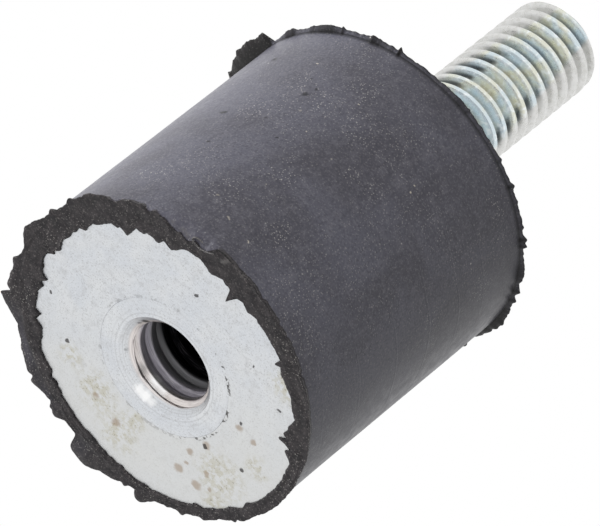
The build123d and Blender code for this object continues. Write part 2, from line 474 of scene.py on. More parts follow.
def closed_piece(name, mesh, material, sharp_degrees):
    """Turn the mesh's faces outwards, shade it, give it its material and make it a piece."""
    work = bmesh.new()
    work.from_mesh(mesh)
    bmesh.ops.remove_doubles(work, verts=work.verts, dist=WELD_DISTANCE)
    bmesh.ops.dissolve_degenerate(work, edges=work.edges, dist=SLIVER_EDGE)
    bmesh.ops.recalc_face_normals(work, faces=work.faces)
    open_edges = sum(1 for e in work.edges if not e.is_manifold)
    volume = work.calc_volume(signed=True)
    if volume < 0:
        bmesh.ops.reverse_faces(work, faces=work.faces)
    work.to_mesh(mesh)
    work.free()
    mesh.shade_smooth()
    mesh.set_sharp_from_angle(angle=math.radians(sharp_degrees))
    mesh.materials.clear()
    mesh.materials.append(material)
    piece = show(bpy.data.objects.new(name, mesh))
    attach(piece, "root")
    triangles = sum(len(p.vertices) - 2 for p in mesh.polygons)
    print(f"{name}: {triangles} triangles, {open_edges} open edges, {abs(volume) / MM**3:.1f} mm3")
    return piece


# %% The rings of the rubber
BUSH_RADIUS = 4.4 * MM
BUSH_TAIL_CHAMFER = 0.5 * MM
COLLAR_THICKNESS = 1.2 * MM
HEAD_EDGE = 0.4 * MM
# Where the flash of the socket end is bent back and where it is thick, and where the flash of the
# stud end flares: angle, spread before, spread after, size in mm
BENT = [(122, 11, 17, 0.16), (107, 9, 8, 0.05), (86, 5, 3, 0.06)]
THICK = [(80, 13, 7, 0.42), (98.5, 4, 5, 0.06), (139, 9, 9, 0.08), (170, 8, 8, 0.05)]
FLARED = [(172, 13, 17, 0.25)]

rings, filmy, crease_shades = [], [], []


def ring(radius, height, film_share=1.0, crease_shade=0.0, centre=STUD_AXIS, turned=0.0):
    """Add one ring to the rubber's skin."""
    rings.append((centre, radius, height, turned))
    filmy.append(film_share)
    crease_shades.append(crease_shade)


# The pocket that holds the bush and the socket plate
plate_back = plate_high.z
for radius, height in [
    (BUSH_RADIUS - BUSH_TAIL_CHAMFER, bush_high.z), (BUSH_RADIUS, bush_high.z - BUSH_TAIL_CHAMFER),
    (BUSH_RADIUS, plate_back + COLLAR_THICKNESS), (collar_radius, plate_back + COLLAR_THICKNESS),
    (collar_radius, plate_back), (plate_radius, plate_back), (plate_radius, film),
]:
    ring(radius, height, centre=SOCKET_AXIS)

# The film, from its feathered edge on the plate out to where the flash begins
flash_edge = socket_flash_edge
fin = np.clip((flash_edge - rubber_radius) / (0.12 * MM), 0.0, 1.0)
root = np.minimum(flash_edge - 0.03 * MM, rubber_radius)
bent = torn(BENT, 3.0)
# The film's feathered edge is painted a little dark as the shade under it.
ring(socket_film_edge, film, 1.0, 0.5)
ring(socket_film_edge + 0.01 * MM, film * 0.55, 1.0, 0.2)
ring(socket_film_edge + 0.06 * MM, film * 0.25, 1.0)
for share in np.linspace(0.06, 1.0, 11):
    radius = socket_film_edge + 0.1 * MM + (root - 0.2 * MM - socket_film_edge) * share
    swell = uneven(26 + 9 * share, 0.022 * MM, 2.0 + share)
    swell += uneven(90, 0.014 * MM, 5.0 + 3 * share)
    ring(radius, np.clip(0.035 * MM + swell, 0.0, None), 1.0)

# The flash, which was bent back a step where a groove parts it from the film
thick = 0.13 * MM + torn(THICK, 1.5) + uneven(40, 0.04 * MM, 11.0)
strip = bent / (0.16 * MM)
# The groove's ring is painted dark as the shade in it.
ring(root - 0.06 * MM, 0.03 * MM + bent * 0.5, 1.0 - 0.2 * strip, strip * 0.9)
body = fin * thick
# how far out the ring is, its lift in mm, its shares of the bend, then what the flash's thickness
# adds, how much less film it shows, how dark its crease is painted as shade, and its share of the
# lean
for reach, lift, bend, rise, less_film, crease_darkness, leaning in [
    (0.06, 0.04, 1.0, 0.0, 0.4, 1.0, 0.1), (0.3, 0.03, 1.0, 0.0, 0.7, 0.3, 0.3),
    (0.65, 0.02, 0.9, 0.0, 0.7, 0.0, 0.65), (0.92, 0.02, 0.8, 0.05 * thick, 0.0, 0.0, 0.9),
    (1.0, 0.03, 0.8, 0.35 * body, 0.0, 0.0, 1.0), (0.92, 0.04, 0.8, 0.8 * body, 0.0, 0.0, 0.9),
    (0.4, 0.05, 1.0, 1.1 * body, 0.0, 0.0, 0.4),
]:
    radius = root + reach * (flash_edge - root)
    height = lift * MM + bend * bent + rise
    ring(radius, height, 1.0 - less_film * strip, crease_darkness * strip, turned=leaning * lean)

# The shoulder, round where the mould's corner was and soft where the film pulled back
pulled = soften(np.clip(rubber_radius - flash_edge, 0.0, None), 7.0)
inset = np.maximum(0.12 * MM + 1.1 * pulled, 1.02 * np.clip(rubber_radius - flash_edge, 0.0, None))
foot = 0.06 * MM + fin * (bent + 1.15 * thick)
rise = 0.1 * MM + 0.7 * inset
first = np.arcsin(np.clip((root + 0.01 * MM - rubber_radius + inset) / inset, 0.0, 0.98))
for share in np.linspace(0.0, 1.0, 8):
    turn = first + (math.pi / 2 - first) * share
    radius = rubber_radius - inset * (1.0 - np.sin(turn))
    bloomed = np.clip(1.0 - 1.5 * share - 4.0 * pulled / MM, 0.0, 1.0)
    ring(radius, foot + rise * (1.0 - np.cos(turn)), bloomed, 0.0)

# The side, which isn't quite true
side_foot = foot + rise
side_head = rubber_top - 0.5 * MM
for share in np.linspace(0.04, 1.0, 18):
    wave = uneven(9, 0.02 * MM, 20.0 + 2.5 * share) + uneven(40, 0.004 * MM, 30.0 + 6 * share)
    radius = rubber_radius + wave * math.sin(math.pi * share)
    ring(radius, side_foot + (side_head - side_foot) * share, 0.0)

# The flash and film of the stud end
flash_edge = stud_flash_edge
flare = torn(FLARED, 2.0)
under = rubber_top - 0.24 * MM - flare * 0.5
out = flash_edge - rubber_radius
torn_here = np.clip((out - 0.2 * MM) / (0.25 * MM), 0.0, 1.0)
# Under the stud end's flash the skin is painted dark as the shade there.
ring(rubber_radius + 0.01 * MM, rubber_top - 0.36 * MM - flare * 0.4, 0.6 * torn_here, 0.5)
ring(rubber_radius + 0.04 * MM, under, torn_here, 0.9)
ring(rubber_radius + 0.5 * out, under + 0.05 * MM, torn_here, 0.4 + 0.3 * torn_here)
ring(rubber_radius + 0.9 * out, rubber_top - 0.12 * MM - 0.25 * flare, 0.3 + 0.7 * torn_here, 0.3)
ring(flash_edge, rubber_top - 0.03 * MM, 1.0)
ring(rubber_radius + 0.85 * out, rubber_top, 1.0)
for share in np.linspace(0.0, 1.0, 9):
    radius = rubber_radius + (stud_film_edge + 0.15 * MM - rubber_radius) * share
    swell = uneven(30 + 9 * share, 0.02 * MM, 42.0 + share)
    ring(radius, rubber_top - np.clip(0.03 * MM + swell, 0.0, None), 1.0)
ring(stud_film_edge + 0.02 * MM, rubber_top - film * 0.55, 1.0)
# The stud film's torn edge is painted a little dark as shade.
ring(stud_film_edge, rubber_top - film, 1.0, 0.3)

# The pocket that holds the stud plate and the stud's head
head_radius = (stud_high.x - stud_low.x) / 2
for radius, height in [
    (plate_radius, stud_plate_high.z), (plate_radius, stud_plate_low.z),
    (head_radius, stud_plate_low.z), (head_radius, stud_low.z + HEAD_EDGE),
    (head_radius - HEAD_EDGE, stud_low.z),
]:
    ring(radius, height)
print("rings:", len(rings))

# %% [markdown]
# ## The rubber's finish
# Moulded rubber isn't black. A blue-grey bloom dulls it, and it isn't quite matt, so it brightens
# towards its outline. Fine pale dust sits on it in drifts, with a few pits, painted as dark spots of
# shade, and the faint lines that the mould left. The torn film has no bloom, so it looks darker and
# browner. Creases and a fold are painted dark as shade, and so, in part, is the film at the stud
# end. The dust is made of cells, each with one speck at its middle, and only some cells are near
# enough to the skin to show theirs. That gives specks of many sizes with no list.

# %% Helpers for specks and spots
def dust(place, size, cell, seed):
    """Specks about this big, one to a cell of this size."""
    moved = vector_maths("ADD", place, (seed, seed, seed))
    inputs = {"Vector": moved, "Scale": 1.0 / cell, "Randomness": 1.0}
    near = add(tree_of(place), "ShaderNodeTexVoronoi", inputs, feature="F1").outputs["Distance"]
    return span(near, size / cell, size / cell * 0.3)


def near_point(place, point, size, soft):
    """1 within a ball round a point and 0 outside it, with a soft edge."""
    away = vector_maths("DISTANCE", place, tuple(point), "Value")
    return span(away, size, size * (1.0 - soft))


def on_side(degrees, height_mm, radius=rubber_radius):
    """A point of the rubber's side."""
    turn = math.radians(degrees)
    return (radius * math.cos(turn), radius * math.sin(turn), height_mm * MM)


def on_face(degrees, radius_mm):
    """A point of the socket end."""
    return on_side(degrees, 0.0, radius_mm * MM)


def jittered(place, size, reach):
    """The place shifted about by noise, which makes round spots ragged."""
    inputs = {"Vector": place, "Scale": 1.0 / size, "Detail": 3.0}
    colour = add(tree_of(place), "ShaderNodeTexNoise", inputs).outputs["Color"]
    shift = vector_maths("SUBTRACT", colour, (0.5, 0.5, 0.5))
    shift = vector_maths("MULTIPLY", shift, (reach, reach, reach))
    return vector_maths("ADD", place, shift)


def spotted(under, over, place, spots, point, soft, strength):
    """Paint spots of one colour, each two numbers that `point` places, then its size in mm."""
    for first, second, size in spots:
        here = near_point(place, point(first, second), size * MM, soft)
        under = paint(under, over, here, strength)
    return under


# %% Rubber material: the skin and the film
rubber_skin, shader, place = new_material("rubber_skin")
film_share = kept(shader, "film_share")
crease_shade = kept(shader, "crease_shade")
ragged = jittered(place, 0.5 * MM, 0.5 * MM)

bloom = rough(place, 5 * MM, 5.0, 0.5)
mottle = rough(place, 0.6 * MM, 5.0)
grain = rough(place, 0.14 * MM, 3.0)
side_colour = flecked(rgb(0.05, 0.048, 0.059), rgb(0.078, 0.077, 0.096), bloom, 0.3, 0.7)
side_colour = flecked(side_colour, rgb(0.122, 0.118, 0.134), mottle, 0.45, 0.75, 0.4)
side_colour = flecked(side_colour, rgb(0.147, 0.144, 0.157), grain, 0.5, 0.72, 0.4)
side_colour = flecked(side_colour, rgb(0.027, 0.026, 0.034), grain, 0.48, 0.3, 0.45)

film_colour = flecked(rgb(0.004, 0.003, 0.004), rgb(0.024, 0.021, 0.022), mottle, 0.35, 0.7)
film_colour = flecked(film_colour, rgb(0.06, 0.052, 0.052), grain, 0.5, 0.72, 0.55)
# The film at the stud end is painted darker: partly its own darker rubber, partly painted shade.
stud_end_shade = span(split(place)[2], 10 * MM, 15 * MM)
film_colour = paint(film_colour, rgb(0.004, 0.003, 0.003), stud_end_shade, 0.75)

# %% Rubber material: dust, pits and mould lines
# Drifts of dust, and pits painted as dark spots of shade: angle, height, size in mm. Pale spots have
# a strength as well. The faint lines that the mould left are heights in mm.
DRIFTS = [
    (253, 12.8, 1.5), (247, 13.6, 1.2), (262, 10.6, 1.2), (270, 11.0, 1.2), (272, 13.3, 0.8),
    (243, 16.0, 2.0), (236, 13.5, 2.0), (225, 14.5, 2.0), (262, 3.8, 1.8), (279, 2.2, 1.6),
    (284, 1.0, 1.0), (291, 1.0, 0.8), (222, 11.0, 2.2), (300, 18.5, 1.6), (322, 16.0, 2.0),
    (312, 18.0, 1.5), (248, 7.5, 2.0), (240, 4.0, 2.0), (214, 3.2, 2.2),
]
PIT_SHADE_SPOTS = [
    (229.5, 13.6, 0.3), (211.5, 10.2, 0.3), (219, 7.1, 0.2), (230.5, 14.3, 0.18),
    (227, 10.6, 0.16), (203.5, 16.6, 0.26), (236.5, 9.4, 0.1), (226, 15.0, 0.16),
]
SPOTS = [
    (233.5, 12.2, 0.16, 0.16), (277, 13.7, 0.09, 0.45), (278, 13.1, 0.1, 0.5),
    (247.8, 2.35, 0.13, 0.32), (239.5, 3.4, 0.1, 0.22), (247, 6.0, 0.07, 0.4),
    (258, 2.0, 0.09, 0.45), (245, 14.9, 0.07, 0.4), (221.5, 16.5, 0.08, 0.35),
    (232, 12.0, 0.08, 0.4), (241.5, 10.9, 0.07, 0.35), (254, 10.4, 0.07, 0.35),
]
MOULD_LINES = [1.9, 5.2, 8.5, 11.5, 14.3, 16.6]

drift = span(rough(place, 3.5 * MM, 4.0), 0.42, 0.66, 0.2, 0.6)
for degrees, height, size in DRIFTS:
    here = near_point(ragged, on_side(degrees, height), size * MM, 0.9)
    drift = larger(drift, times(here, 0.95))
fine_dust = times(dust(place, 0.05 * MM, 0.16 * MM, 0.0), 0.4)
mid_dust = times(dust(place, 0.062 * MM, 0.38 * MM, 0.3), 0.5)
specks = times(larger(fine_dust, mid_dust), drift)
specks = larger(specks, times(dust(place, 0.075 * MM, 1.9 * MM, 0.7), 0.6))

colour = blend(film_share, side_colour, film_colour)
for degrees, height, size, strength in SPOTS:
    here = near_point(ragged, on_side(degrees, height), size * MM, 0.6)
    colour = paint(colour, rgb(0.75, 0.68, 0.55), here, strength)
# Pits are painted near-black as their shade.
colour = spotted(colour, rgb(0.008, 0.008, 0.01), ragged, PIT_SHADE_SPOTS, on_side, 0.7, 0.85)
colour = blend(specks, colour, rgb(0.64, 0.61, 0.56))
# Creases are painted near-black as their shade.
painted_crease_shade = maths("MULTIPLY", crease_shade, 0.95, clamp=True)
colour = blend(painted_crease_shade, colour, rgb(0.002, 0.002, 0.002))

# The fold beside the curl, painted near-black as the shade in it, and pale patches round it: angle,
# radius, size in mm
FOLD_SHADE = [
    (246.4, 9.6, 0.13), (247.3, 9.58, 0.143), (248.3, 9.64, 0.156), (249.3, 9.72, 0.156),
    (250.3, 9.82, 0.169), (251.3, 9.91, 0.169), (252.4, 9.98, 0.169), (253.5, 10.03, 0.156),
    (254.6, 10.07, 0.156), (255.8, 10.11, 0.156), (257.0, 10.14, 0.156), (258.2, 10.15, 0.156),
    (259.3, 10.1, 0.156), (261.0, 9.84, 0.104), (262.0, 9.86, 0.104),
]
PALE_PATCHES = [
    (257.3, 9.6, 0.24), (258.0, 9.74, 0.24), (258.8, 9.9, 0.225), (261.8, 9.97, 0.15),
    (263.6, 10.0, 0.18), (265.4, 9.95, 0.18), (214.0, 10.05, 0.21), (236.0, 9.75, 0.24),
    (240.2, 9.62, 0.33), (242.0, 9.45, 0.3),
]
colour = spotted(colour, rgb(0.115, 0.108, 0.105), ragged, PALE_PATCHES, on_face, 0.9, 0.5)
# The fold is painted near-black as its shade.
colour = spotted(colour, rgb(0.004, 0.004, 0.004), place, FOLD_SHADE, on_face, 0.7, 0.92)
put(shader.inputs["Base Color"], colour)

height = split(place)[2]
wander = times(rough(place, 6 * MM, 1.0), 0.8 * MM)
height = plus(height, wander)
lines = 0.0
for line in MOULD_LINES:
    off = apart(height, line * MM)
    lines = larger(span(off, 0.1 * MM, 0.0), lines)
right = near_point(place, (6.5 * MM, -7.0 * MM, 9 * MM), 12 * MM, 0.6)
lines = times(lines, right)

dull = span(mottle, 0.25, 0.75, 0.32, 0.44)
dull = plus(dull, times(film_share, 0.1))
put(shader.inputs["Roughness"], dull)
shader.inputs["Specular IOR Level"].default_value = 0.27
relief = plus(times(grain, 0.5), times(mottle, 0.9))
relief = plus(relief, times(lines, 0.35))
roughen(shader, relief, 0.35, 0.05 * MM)

# %% Rubber piece
middle = Vector((SOCKET_AXIS.x, SOCKET_AXIS.y, bush_high.z))
rubber_mesh = weave("rubber", rings, middle, Vector((0.0, 0.0, stud_low.z)),
                    {"film_share": filmy, "crease_shade": crease_shades})
rubber = closed_piece("rubber", rubber_mesh, rubber_skin, 50.0)
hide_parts("rubber_body")

# %% [markdown]
# ## A curl of torn rubber
# Where the film was pulled off, its last shred rolled up on itself. It is a tube that thins
# towards both ends, laid along a few points and smoothed. A real shred stretches and turns pale
# when it's torn.

# %% Curl material and piece
torn_shred, shader, place = new_material("torn_shred")
fibres = rough(place, 0.06 * MM, 3.0)
colour = flecked(rgb(0.02, 0.019, 0.019), rgb(0.13, 0.122, 0.12), fibres, 0.35, 0.65)
put(shader.inputs["Base Color"], colour)
shader.inputs["Roughness"].default_value = 0.5

CURL = [
    (248.9, 9.74), (247.6, 9.8), (246.2, 9.8), (245.1, 9.7), (244.7, 9.54), (245.4, 9.38),
    (247.0, 9.27), (248.8, 9.24), (250.6, 9.31), (252.2, 9.44), (253.6, 9.6),
]
CURL_RADIUS = 0.055 * MM
CURL_HEIGHT = 0.02 * MM
CURL_SIDES = 8
knots = np.array([on_face(degrees, radius)[:2] for degrees, radius in CURL])
along = np.linspace(0, len(knots) - 1, 60)
path = np.stack([np.interp(along, range(len(knots)), knots[:, i]) for i in (0, 1)], axis=1)
for _ in range(6):
    path[1:-1] = (path[:-2] + 2 * path[1:-1] + path[2:]) / 4
shred_mesh = bpy.data.meshes.new("curl")
points, faces = [(*path[0], CURL_HEIGHT)], []
for i, (x, y) in enumerate(path):
    ahead = path[min(i + 1, len(path) - 1)] - path[max(i - 1, 0)]
    across = np.array([-ahead[1], ahead[0]]) / np.linalg.norm(ahead)
    thick_here = CURL_RADIUS * (0.25 + 0.75 * math.sin(math.pi * (i + 0.5) / len(path)) ** 0.5)
    for corner in range(CURL_SIDES):
        turn = corner * 2 * math.pi / CURL_SIDES
        aside, lift = thick_here * math.cos(turn), thick_here * math.sin(turn)
        points.append((x + across[0] * aside, y + across[1] * aside, lift + CURL_HEIGHT))
points.append((*path[-1], CURL_HEIGHT))
last = len(points) - 1
for a in range(CURL_SIDES):
    b = (a + 1) % CURL_SIDES
    for low in range(1, last - CURL_SIDES, CURL_SIDES):
        high = low + CURL_SIDES
        faces.append((low + a, low + b, high + b, high + a))
    faces += [(0, 1 + b, 1 + a), (last, last - CURL_SIDES + a, last - CURL_SIDES + b)]
shred_mesh.from_pydata(points, [], faces)
closed_piece("rubber_curl", shred_mesh, torn_shred, 60.0)

# %% [markdown]
# ## Zinc plating
# Bright zinc on a stamped plate is a soft, slightly blue white with the marks of the lathe under
# it. The marks are noise that changes fast with the distance from an axis and slowly round it, so
# they come out as fine rings.

# %% Zinc materials
def turning_marks(place, axis, width):
    """Fine rings about an axis, from noise read at the distance from it and the height."""
    parts = split(vector_maths("SUBTRACT", place, tuple(axis)))
    across = maths("POWER", plus(times(parts[0], parts[0]), times(parts[1], parts[1])), 0.5)
    drift = times(rough(place, 3 * MM, 1.0), 0.25 * MM)
    read = plus(across, drift)
    joined = add(tree_of(place), "ShaderNodeCombineXYZ", {0: read, 1: parts[2]}).outputs[0]
    return across, rough(joined, width, 3.0)


def plating(place, axis):
    """The colour and relief of plain zinc: cloud, grain and the lathe's rings near an axis."""
    across, marks = turning_marks(place, axis, 0.1 * MM)
    cloud = rough(place, 2.2 * MM, 5.0, 0.3)
    blotch = rough(place, 0.45 * MM, 4.0, 0.4)
    flecks = rough(place, 0.09 * MM, 2.0)
    colour = flecked(rgb(0.64, 0.665, 0.7), rgb(0.715, 0.73, 0.745), cloud, 0.3, 0.7)
    colour = flecked(colour, rgb(0.55, 0.56, 0.575), blotch, 0.5, 0.72, 0.55)
    colour = flecked(colour, rgb(0.42, 0.42, 0.42), flecks, 0.54, 0.72, 0.6)
    colour = flecked(colour, rgb(0.78, 0.8, 0.82), flecks, 0.44, 0.28, 0.5)
    ringed = times(span(across, 4.0 * MM, 3.3 * MM, 0.06, 0.35), span(marks, 0.45, 0.62))
    colour = blend(ringed, colour, rgb(0.4, 0.4, 0.41))
    relief = plus(times(flecks, 0.6), blotch)
    return colour, relief, across, cloud


def on_plate(x_mm, y_mm):
    """A point of the socket plate's face."""
    return (x_mm * MM, y_mm * MM, film)


def metal(shader, colour, dullness, relief, strength, height):
    """Join up a metal's shader: its colour, its roughness and the relief that its tools left."""
    put(shader.inputs["Base Color"], colour)
    shader.inputs["Metallic"].default_value = 1.0
    put(shader.inputs["Roughness"], dullness)
    roughen(shader, relief, strength, height)


zinc_face, shader, place = new_material("zinc_face")
ragged = jittered(place, 0.5 * MM, 0.45 * MM)
colour, relief, across, cloud = plating(place, SOCKET_AXIS)
yellow_side = vector_maths("DOT_PRODUCT", place, (0.7, 0.7, 0.0), "Value")
colour = flecked(colour, rgb(0.675, 0.675, 0.655), yellow_side, -3 * MM, 6 * MM, 0.55)

# Beige patches where the plating has yellowed, then rust, then specks of rubber and dirt: x, y,
# size
YELLOWED = [
    (-0.9, 6.4, 2.0), (1.6, 7.2, 2.0), (1.6, 5.4, 1.2), (7.9, -0.4, 1.2), (7.0, 2.6, 2.4),
    (-3.4, 6.2, 1.2), (5.4, -6.8, 1.6), (8.0, 4.6, 1.2),
]
RUST = [
    (6.63, -1.57, 0.26), (5.5, -1.4, 0.34), (5.2, 1.8, 0.36), (4.9, 3.23, 0.32), (6.4, 3.4, 0.28),
    (5.25, 4.2, 0.22), (7.2, 4.1, 0.24), (6.55, 4.7, 0.42), (5.25, 5.0, 0.4), (1.1, 6.8, 0.4),
    (-0.75, 6.7, 0.28),
]
DIRT = [
    (-1.6, -5.7, 0.16), (6.1, -5.0, 0.14), (7.45, 0.7, 0.14), (-6.8, 4.1, 0.14), (-4.1, 5.6, 0.2),
    (5.15, 1.95, 0.2), (3.4, -5.7, 0.1), (5.4, -1.8, 0.16),
]
stain = span(rough(place, 0.32 * MM, 5.0), 0.4, 0.6)
grime = span(rough(place, 0.13 * MM, 2.0), 0.58, 0.68)
for x, y, size in YELLOWED:
    share = times(near_point(ragged, on_plate(x, y), size * MM, 0.8), stain)
    colour = paint(colour, rgb(0.54, 0.52, 0.43), share, 0.7)
    share = times(share, grime)
    colour = paint(colour, rgb(0.26, 0.23, 0.17), share, 0.7)
colour = spotted(colour, rgb(0.36, 0.27, 0.19), ragged, RUST, on_plate, 0.6, 0.62)
colour = spotted(colour, rgb(0.05, 0.045, 0.045), ragged, DIRT, on_plate, 0.4, 0.85)

# Dirt in the joint round the bush, broken into dashes, and most of it on the +X and -Y sides
off_joint = apart(across, BUSH_RADIUS + 0.06 * MM)
joint = span(off_joint, 0.2 * MM, 0.07 * MM)
dashes = span(rough(place, 0.34 * MM, 5.0), 0.53, 0.6)
towards = vector_maths("SUBTRACT", place, tuple(SOCKET_AXIS))
towards = vector_maths("DOT_PRODUCT", towards, (0.82, -0.57, 0.0), "Value")
dirty_side = span(towards, 0.5 * MM, 3.2 * MM, 0.3, 1.0)
joint = times(times(joint, dashes), dirty_side)
colour = paint(colour, rgb(0.05, 0.045, 0.04), joint, 0.85)
metal(shader, colour, span(cloud, 0.3, 0.7, 0.42, 0.55), relief, 0.25, 0.012 * MM)

# %% [markdown]
# ## Turned pieces
# The plates, the bush and the stud are turned or stamped, so each is a profile carried round an
# axis. The rubber's rings do this already. The socket plate gets a broken edge round its hole,
# where the bush was staked in: a fine groove whose width changes as the tool wandered.

# %% Socket plate
GROOVE = 0.015 * MM
PLATE_EDGE = 0.1 * MM
groove = np.clip(GROOVE + uneven(12, 0.02 * MM, 51.0), 0.006 * MM, None)
face, back = plate_low.z, plate_high.z
hole = BUSH_RADIUS
plate_rings = [(SOCKET_AXIS, r, z) for r, z in [
    (hole, face + groove), (hole + groove * 0.8, face), (hole + groove * 2.0, face),
    (plate_radius * 0.7, face), (plate_radius - PLATE_EDGE, face),
    (plate_radius, face + PLATE_EDGE), (plate_radius, back - PLATE_EDGE),
    (plate_radius - PLATE_EDGE, back), (hole, back), (hole, face + groove),
]]


def weave_loop(name, rings):
    """A closed mesh from rings that come back to the first, as on a washer."""
    mesh = bpy.data.meshes.new(name)
    points = [point for each in rings for point in ring_points(*each)]
    mesh.from_pydata(points, [], bands(len(rings), 0))
    return mesh


plate_mesh = weave_loop("socket_plate_zinc", plate_rings)
socket_plate = closed_piece("socket_plate_zinc", plate_mesh, zinc_face, 30.0)
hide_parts("socket_plate")

# %% [markdown]
# ## Screw threads
# A thread is a ridge that follows a helix. It could be swept along a curve, or cut with a boolean,
# but a sweep leaves overlaps and a boolean is slow. Geometry Nodes make it from a plain grid: each
# row of the grid follows the helix, so its height rises by one pitch in a turn, and the distance
# from the axis depends only on the row. Rows past the end are held at the end, where they close up.
# The same tree makes the thread of the stud and the thread in the bush, with crest and root changed
# over.

# %% Thread tree
def thread_tree():
    """Geometry Nodes for one screw thread about the Z axis, with its run-in and run-out."""
    tree = bpy.data.node_groups.new("screw thread", "GeometryNodeTree")
    face = tree.interface
    sizes = ["Start", "End", "Pitch", "Phase", "Crest Radius", "Root Radius", "Start Radius",
             "Start Slope", "End Radius", "End Slope", "Crest Share", "Root Share"]
    for name in ["Segments", "Rows Per Turn", "Turns"]:
        face.new_socket(name, in_out="INPUT", socket_type="NodeSocketInt")
    for name in sizes:
        face.new_socket(name, in_out="INPUT", socket_type="NodeSocketFloat")
    face.new_socket("Material", in_out="INPUT", socket_type="NodeSocketMaterial")
    face.new_socket("Geometry", in_out="OUTPUT", socket_type="NodeSocketGeometry")
    given = add(tree, "NodeGroupInput").outputs

    rows = times(given["Rows Per Turn"], given["Turns"])
    grid = add(tree, "GeometryNodeMeshGrid", {
        "Size X": 1.0, "Size Y": 1.0, "Vertices X": plus(given["Segments"], 1.0),
        "Vertices Y": plus(rows, 1.0)}).outputs["Mesh"]
    at = split(add(tree, "GeometryNodeInputPosition").outputs[0])
    turn = plus(at[0], 0.5)
    row = times(plus(at[1], 0.5), given["Turns"])

    climb = minus(plus(row, turn), 1.0)
    climb = plus(climb, given["Phase"])
    height = plus(times(climb, given["Pitch"]), given["Start"])
    height = maths("MINIMUM", larger(height, given["Start"]), given["End"])

    # 0 on the crest and 1 in the root. The whole turns that are added keep FRACT above 0
    wave = maths("FRACT", plus(row, 100.0))
    wave = minus(1.0, apart(times(wave, 2.0), 1.0))
    depth = span(wave, given["Crest Share"], minus(1.0, given["Root Share"]))
    drop = minus(given["Root Radius"], given["Crest Radius"])
    radius = plus(times(depth, drop), given["Crest Radius"])

    from_start = minus(height, given["Start"])
    run_in = minus(given["Start Radius"], times(from_start, given["Start Slope"]))
    to_end = minus(given["End"], height)
    run_out = plus(given["End Radius"], times(to_end, given["End Slope"]))
    radius = maths("MINIMUM", larger(radius, run_in), run_out)

    angle = times(turn, 2 * math.pi)
    moved = add(tree, "ShaderNodeCombineXYZ", {
        0: times(radius, maths("COSINE", angle)),
        1: times(radius, maths("SINE", angle)), 2: height}).outputs[0]
    shape = add(tree, "GeometryNodeStoreNamedAttribute", {
        "Geometry": grid, "Name": "groove", "Value": depth}, data_type="FLOAT", domain="POINT")
    for kind, inputs in [
        ("GeometryNodeSetPosition", {"Position": moved}),
        ("GeometryNodeMergeByDistance", {"Distance": 0.001 * MM}),
        ("GeometryNodeRealizeInstances", {}),
        ("GeometryNodeSetMaterial", {"Material": given["Material"]}),
        ("NodeGroupOutput", {}),
    ]:
        shape = add(tree, kind, {0: shape.outputs[0], **inputs})
    return tree


def thread_mesh(tree, sizes):
    """Run the tree with these sizes and hand back a plain mesh."""
    holder = show(bpy.data.objects.new("thread", bpy.data.meshes.new("thread")))
    modifier = holder.modifiers.new("thread", "NODES")
    modifier.node_group = tree
    for item in tree.interface.items_tree:
        if item.item_type == "SOCKET" and item.in_out == "INPUT":
            modifier[item.identifier] = sizes[item.name]
    seen = holder.evaluated_get(bpy.context.evaluated_depsgraph_get())
    mesh = bpy.data.meshes.new_from_object(seen)
    bpy.data.objects.remove(holder)
    return mesh


def lathe(work, centre, profile, segments):
    """Add rings of points to a bmesh, with a point where the profile meets the axis."""
    before = None
    for radius, height in profile:
        if radius == 0.0:
            now = [work.verts.new((centre.x, centre.y, height))]
        else:
            turns = [2 * math.pi * i / segments for i in range(segments)]
            now = [work.verts.new((centre.x + radius * math.cos(turn),
                                   centre.y + radius * math.sin(turn), height)) for turn in turns]
        if before is not None:
            for i in range(segments):
                j = (i + 1) % segments
                corners = [before[i % len(before)], before[j % len(before)],
                           now[j % len(now)], now[i % len(now)]]
                work.faces.new(list(dict.fromkeys(corners)))
        before = now


SEGMENTS = 144
ROWS_PER_TURN = 16
PITCH = 1.0 * MM
SHARP_DEGREES = 38.0  # edges of the turned pieces that stay crisp
EITHER_THREAD = {"Segments": SEGMENTS, "Rows Per Turn": ROWS_PER_TURN, "Pitch": PITCH,
                 "Start Slope": 1.0, "End Slope": 1.0}


def turned_piece(name, thread, axis, profiles, material):
    """Close a thread with what was turned at its two ends, and make it a piece."""
    work = bmesh.new()
    work.from_mesh(thread)
    for profile in profiles:
        lathe(work, axis, profile, SEGMENTS)
    work.to_mesh(thread)
    work.free()
    return closed_piece(name, thread, material, SHARP_DEGREES)


thread_nodes = thread_tree()
print("thread tree nodes:", len(thread_nodes.nodes))

# %% [markdown]
# ## The threaded bush
# The bush was turned from bar, plated, and its thread shows bare steel where the tap cut through.
# Its mouth is a cone with a few tool rings, which catches most of the light, and painted glints add
# to it. The bore is painted darker from turn to turn as shade.

# %% Bush materials
bush_metal, shader, place = new_material("bush_metal")
plated, relief, across, _ = plating(place, SOCKET_AXIS)
scratches = turning_marks(place, SOCKET_AXIS, 0.05 * MM)[1]
height = split(place)[2]

# The bore: bare steel where the tap broke through the plating, painted bright in its first turn as
# the light there and darker from turn to turn as shade
bore_steel_and_shade = rgb(0.78, 0.73, 0.71)
for level, tone in [
    (1.3, rgb(0.46, 0.44, 0.49)), (2.3, rgb(0.26, 0.26, 0.27)), (3.2, rgb(0.004, 0.004, 0.005)),
]:
    deeper = span(height, (level - 0.14) * MM, (level + 0.14) * MM)
    bore_steel_and_shade = blend(deeper, bore_steel_and_shade, tone)
bore_steel_and_shade = flecked(bore_steel_and_shade, rgb(0.14, 0.13, 0.14), scratches, 0.5, 0.66, 0.35)
# Painted light lines on the scratches of the first turns.
shine = span(scratches, 0.46, 0.34, 0.0, 0.5)
shine = times(shine, span(height, 2.6 * MM, 1.9 * MM))
bore_steel_and_shade = blend(shine, bore_steel_and_shade, rgb(0.8, 0.78, 0.78))
bare = span(height, film + 0.35 * MM, film + 0.5 * MM)
inside = span(across, 2.95 * MM, 2.85 * MM)
colour = blend(times(bare, inside), plated, bore_steel_and_shade)
ragged = jittered(place, 0.3 * MM, 0.3 * MM)
